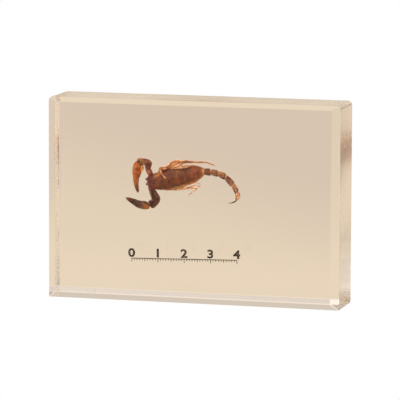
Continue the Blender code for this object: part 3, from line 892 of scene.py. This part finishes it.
def makeBristles(look):
    chance = random.Random(look["seed"])
    points = []
    for joints, radii, count in look["routes"]:
        for start, end, radius in zip(joints, joints[1:], radii):
            along = (toPlace(end) - toPlace(start)).normalized()
            across = along.cross(Vector((0.0, 1.0, 0.0))).normalized()
            for index in range(count):
                turn = chance.uniform(0.0, 2.0 * pi)
                outward = across * cos(turn) + along.cross(across) * sin(turn)
                root = toPlace(start).lerp(toPlace(end), (index + chance.uniform(0.2, 0.8)) / count)
                lean = (outward + along * look["lean"]).normalized()
                points.append((root + outward * radius * 0.9 * mm + lean * look["length"] * 0.4 * mm, lean))
    return addPoints("bristles", points, "legPale", 3, look["width"], look["length"], 0.2)


bristlePiece = makeBristles(bristles)
print("bristles:", len(bristlePiece.data.polygons), "faces")


def mottleGroup():  # patches, blotches and specks of a shell that dried unevenly
    sizes = {"Patch Scale": 700.0, "Speck Scale": 3200.0, "Blotch Scale": 330.0}
    group, start, end = newGroup("driedMottle", sizes, ("Patches", "Specks", "Blotches"))
    place = coordinates(group)
    for size, mask, low, high in (("Patch Scale", "Patches", 0.38, 0.62),
            ("Speck Scale", "Specks", 0.52, 0.68), ("Blotch Scale", "Blotches", 0.42, 0.6)):
        feedAll(group, end, {mask: softStep(group, noise(group, place, start[size], 4.0), low, high)})
    return group


def granuleGroup():  # rows of tiny grains that roughen the shell
    group, start, end = newGroup("shellGrains", {"Grain Scale": 5000.0}, ("Height",))
    cells = addNode(group, "TexVoronoi", {"Vector": coordinates(group), "Scale": start["Grain Scale"]})
    feedAll(group, end, {"Height": softStep(group, cells.outputs["Distance"], 0.65, 0.1)})
    return group


driedMottle = mottleGroup()
shellGrains = granuleGroup()


def shellMaterial(name, look):
    material, tree, shader = newMaterial(name)
    mottle = placeGroup(tree, driedMottle, look["patchScale"], look["speckScale"])
    grains = placeGroup(tree, shellGrains, look["grainScale"])
    colour = addNode(tree, "Attribute", {}, attribute_name="tone").outputs["Color"]
    for mask, tint in (("Patches", "patchTint"), ("Blotches", "blotchTint"), ("Specks", "speckTint")):
        colour = mixColours(tree, mottle[mask], colour, look[tint], "MULTIPLY")
    feedAll(tree, shader, {"Base Color": colour,
        "Roughness": rampBetween(tree, mottle["Patches"], *look["roughness"]),
        "Normal": bumpFrom(tree, grains["Height"], look["bump"], 0.04),
        "Specular IOR Level": look["specular"], "Subsurface Weight": look["glow"],
        "Subsurface Radius": (1.0, 0.4, 0.2), "Subsurface Scale": 0.5 * mm})
    return material


shellLooks = {
    "dryCuticle": {
        "patchScale": 750.0, "speckScale": 2100.0, "grainScale": 3400.0, "roughness": (0.28, 0.5),
        "patchTint": (0.6, 0.6, 0.52), "blotchTint": (1.12, 0.92, 0.8),
        "speckTint": (0.42, 0.38, 0.4), "specular": 0.5, "glow": 0.06, "bump": 1.0},
    "limbCuticle": {
        "patchScale": 650.0, "speckScale": 1900.0, "grainScale": 4200.0, "roughness": (0.26, 0.46),
        "patchTint": (0.6, 0.42, 0.3), "blotchTint": (1.05, 0.8, 0.62),
        "speckTint": (0.5, 0.36, 0.28), "specular": 0.5, "glow": 0.12, "bump": 0.7},
    "flankMembrane": {
        "patchScale": 700.0, "speckScale": 2200.0, "grainScale": 2400.0, "roughness": (0.45, 0.65),
        "patchTint": (0.66, 0.5, 0.34), "blotchTint": (1.05, 0.9, 0.8),
        "speckTint": (0.62, 0.46, 0.34), "specular": 0.3, "glow": 0.3, "bump": 0.6},
}
shells = {name: shellMaterial(name, look) for name, look in shellLooks.items()}


def mottledMaterial(name, look):  # two close shades and an uneven gloss, for the eyes and the ink
    material, tree, shader = newMaterial(name)
    mottle = placeGroup(tree, driedMottle, look["patchScale"], look["speckScale"])
    feedAll(tree, shader, {"Base Color": mixColours(tree, mottle["Patches"], *look["shades"]),
        "Roughness": rampBetween(tree, mottle["Specks"], *look["roughness"])})
    if look["bump"]:
        feedAll(tree, shader, {"Normal": bumpFrom(tree, mottle["Specks"], look["bump"], 0.01)})
    return material


eyeLook = {"patchScale": 2500.0, "speckScale": 9000.0, "roughness": (0.08, 0.2), "bump": 0.0,
    "shades": ((0.012, 0.008, 0.007), (0.05, 0.025, 0.018))}


def dress(piece, material):
    piece.data.materials.clear()
    piece.data.materials.append(material)
    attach(piece, "root")
    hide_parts("scorpion")


for piece in (backPlates, carapacePiece, mouthPiece, tailPiece):
    dress(piece, shells["dryCuticle"])
for piece in (upperPedipalp, lowerPedipalp, upperLegs, lowerLegs, bellyPlates, undersidePiece, bristlePiece):
    dress(piece, shells["limbCuticle"])
dress(flankSkin, shells["flankMembrane"])
dress(eyes, mottledMaterial("eyeLens", eyeLook))
print("scorpion dressed")

# Ink laid on the first pour before the second one covered it: a plain scale in centimetres
printedScale = {
    "start": (-24.6, 15.0),
    "centimetres": 4,
    "tilt": 1.4,
    "cell": 0.25,
    "lineWidth": 0.3,
    "ticks": ((4, 0.55), (20, 0.3), (40, 0.35)),  # spacing in cells, and what it adds below the line
    "numeralSize": 4.3,
    "numeralWidth": 1.2,
    "numeralWeight": 0.15,
    "numeralLift": 0.6,
    "inkDepth": 0.05,
    "patchScale": 900.0,
    "speckScale": 5000.0,
    "shades": ((0.035, 0.021, 0.01), (0.06, 0.036, 0.018)),
    "roughness": (0.45, 0.65),
    "bump": 0.3,
}


def scalePlace(look, along, up):
    tilt = radians(look["tilt"])
    x, z = look["start"]
    return toPlace((x + along * cos(tilt) - up * sin(tilt), 0.0,
        z + along * sin(tilt) + up * cos(tilt)))


def makeRule(look, turned):
    cell, width = look["cell"] * mm, look["lineWidth"] * mm
    count = round(10 * look["centimetres"] / look["cell"]) + 1
    rule = addShape("grid", "rule", x_subdivisions=count, y_subdivisions=1, size=1.0)
    setMode("EDIT")
    bpy.ops.transform.resize(value=(count * cell, width, 1.0), center_override=(0.0, 0.0, 0.0))
    level = -width / 2
    for spacing, reach in look["ticks"]:
        chooseInEdit(rule, "EDGE", lambda edge: all(v.co.y < level + 0.1 * cell for v in edge.verts)
            and abs(edge.verts[0].co.y - edge.verts[1].co.y) < 0.1 * cell
            and int((sum(v.co.x for v in edge.verts) / cell + count) / 2) % spacing == 0)
        bpy.ops.mesh.extrude_region_move(TRANSFORM_OT_translate={"value": (0.0, -reach * mm, 0.0)})
        level -= reach * mm
    setMode("OBJECT")
    rule.location = scalePlace(look, 5 * look["centimetres"], 0.0)
    rule.rotation_euler = turned
    settle(rule)
    return rule


def makePrintedScale(look):
    turned = (pi / 2, -radians(look["tilt"]), 0.0)
    marks = [makeRule(look, turned)]
    for centimetre in range(look["centimetres"] + 1):
        place = scalePlace(look, 10 * centimetre, look["numeralLift"])
        bpy.ops.object.text_add(location=place, rotation=turned)
        numeral = bpy.context.object.data
        numeral.body = str(centimetre)
        numeral.size = look["numeralSize"] * mm
        numeral.offset = look["numeralWeight"] * mm
        numeral.align_x = "CENTER"
        bpy.ops.object.convert(target="MESH")
        marks.append(bpy.context.object)
        marks[-1].scale = (look["numeralWidth"], 1.0, 1.0)
        settle(marks[-1])
    scale = merge(marks, "printedScale")
    finishWith(scale, "SOLIDIFY", thickness=look["inkDepth"] * mm, offset=0.0)
    return scale


scalePiece = makePrintedScale(printedScale)
scalePiece.data.materials.clear()
scalePiece.data.materials.append(mottledMaterial("printedInk", printedScale))
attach(scalePiece, "root")
print("printed scale:", len(scalePiece.data.polygons), "faces")

studio = {
    "floorRadius": 4.0,
    "floorDrop": 0.1 * mm,  # the floor is this far under the block
    "turn": 15.3,  # degrees that the camera stands to the right of straight ahead
    "rise": 8.0,  # degrees above the middle of the block
    "roll": 0.2,
    "distance": 1.32,
    "lens": 324.1,
    "aimRight": 0.29 * mm,
    "aimDown": 0.18 * mm,
}

# What the block shows of its surroundings. The page round it stays white, as on a cut-out product photo.
surroundings = {
    "nearFloor": (0.808, 0.67, 0.505),
    "farFloor": (0.725, 0.597, 0.475),
    "sideFloor": (0.9, 0.735, 0.56),
    "farFrom": (45 * mm, 185 * mm),  # the soft edge between the painted lighter near floor and the darker far floor
    "farTurn": atan2(0.645, 0.763),  # that edge runs across the floor at this angle
    "sideFrom": (40 * mm, 130 * mm),
    "frontFloor": (0.16, 0.13, 0.1),  # painted shade: the dark front of the room, which the front face hardly mirrors
    "frontFrom": (-60 * mm, -180 * mm),
    "horizon": (0.95, 0.8, 0.63),
    "wall": (0.62, 0.542, 0.468),
    "ceiling": (0.98, 0.87, 0.78),
    "wallRise": (0.14, 0.26),  # where the wall and the ceiling begin, as the sine of the angle
    "ceilingRise": (0.36, 0.62),
    "softboxes": ((-80, 34, 21.0), (8, 26, 9.5)),  # turn and rise in degrees, then strength: left, and front
    "softboxEdge": (0.9, 0.96),
    "glintShare": 0.015,  # how much of the softboxes the polished resin itself mirrors
    "softboxColour": (1.0, 0.95, 0.88),
}


def towards(turn, rise):  # the direction of what stands so many degrees to the right and above
    turned, raised = radians(turn), radians(rise)
    level = cos(raised)
    return Vector((sin(turned) * level, -cos(turned) * level, sin(raised)))


def showPage(tree, output, around, page):  # the camera sees the white page, all other light the surroundings
    feeds = {"Fac": addNode(tree, "LightPath", {}).outputs["Is Camera Ray"], 1: around, 2: page}
    blend = addNode(tree, "MixShader", feeds)
    feedAll(tree, tree.nodes[output], {"Surface": blend.outputs["Shader"]})


def makeFloor(look):
    floor = addShape("circle", "studioFloor", vertices=96, radius=studio["floorRadius"], fill_type="NGON",
        location=(0.0, 0.0, -studio["floorDrop"]))
    material, tree, shader = newMaterial("paleStudioFloor")
    tree.nodes.remove(shader)
    place = coordinates(tree)
    turned = addNode(tree, "Mapping", {"Vector": place, "Rotation": (0.0, 0.0, -look["farTurn"])})
    across, plain = splitAxes(tree, turned.outputs["Vector"]), splitAxes(tree, place)
    # The floor's tones are painted light and shade: lighter near the block and lighter still off its right
    # end, darker far behind, darkest in front.
    tone = look["nearFloor"]
    for axis, part in ((across["X"], "far"), (plain["X"], "side"), (plain["Y"], "front")):
        tone = mixColours(tree, softStep(tree, axis, *look[f"{part}From"]), tone, look[f"{part}Floor"])
    around, page = addNode(tree, "Emission", {"Color": tone}), addNode(tree, "Emission", {})
    showPage(tree, "Material Output", around.outputs["Emission"], page.outputs["Emission"])
    floor.data.materials.append(material)


def makeWorld(look):
    world = bpy.data.worlds.new("softStudio")
    bpy.context.scene.world = world
    world.use_nodes = True
    tree = world.node_tree
    page = feedAll(tree, tree.nodes["Background"], {"Color": (1.0, 1.0, 1.0)})
    place = coordinates(tree, "Generated")
    up = splitAxes(tree, place)["Z"]
    tone = mixColours(tree, softStep(tree, up, *look["wallRise"]), look["horizon"], look["wall"])
    tone = mixColours(tree, softStep(tree, up, *look["ceilingRise"]), tone, look["ceiling"])
    lamps = []
    for turn, rise, power in look["softboxes"]:
        facing = addNode(tree, "VectorMath", {0: place, 1: towards(turn, rise)}, operation="DOT_PRODUCT")
        lamps.append((softStep(tree, facing.outputs["Value"], *look["softboxEdge"]), power))
    depth = addNode(tree, "LightPath", {}).outputs["Diffuse Depth"]
    mirrored = rampBetween(tree, depth, look["glintShare"], 1.0)
    dimmed = calculate(tree, "MULTIPLY", weightedSum(tree, lamps), mirrored)
    around = addNode(tree, "Background", {"Color": tone})
    lit = addNode(tree, "Background", {"Color": look["softboxColour"], "Strength": dimmed})
    both = addNode(tree, "AddShader", {0: around.outputs["Background"], 1: lit.outputs["Background"]})
    showPage(tree, "World Output", both.outputs["Shader"], page.outputs["Background"])


def makeCamera(look):
    back = towards(look["turn"], look["rise"])
    middle = (clearBlock["low"] + clearBlock["high"]) / 2
    facing = (-back).to_track_quat("-Z", "Y")
    aim = middle + facing @ Vector((look["aimRight"], -look["aimDown"], 0.0))
    roll = Matrix.Rotation(radians(look["roll"]), 3, "Z").to_quaternion()
    bpy.ops.object.camera_add(location=aim + back * look["distance"], rotation=(facing @ roll).to_euler())
    camera = bpy.context.object
    camera.name = "productCamera"
    camera.data.lens = look["lens"]
    camera.data.clip_start = 0.05
    bpy.context.scene.camera = camera


makeFloor(surroundings)
makeWorld(surroundings)
makeCamera(studio)
scene = bpy.context.scene
scene.view_settings.view_transform = "Standard"
scene.cycles.max_bounces = 32
scene.cycles.glossy_bounces = 24
scene.cycles.transmission_bounces = 24
print("stage, light and camera set")
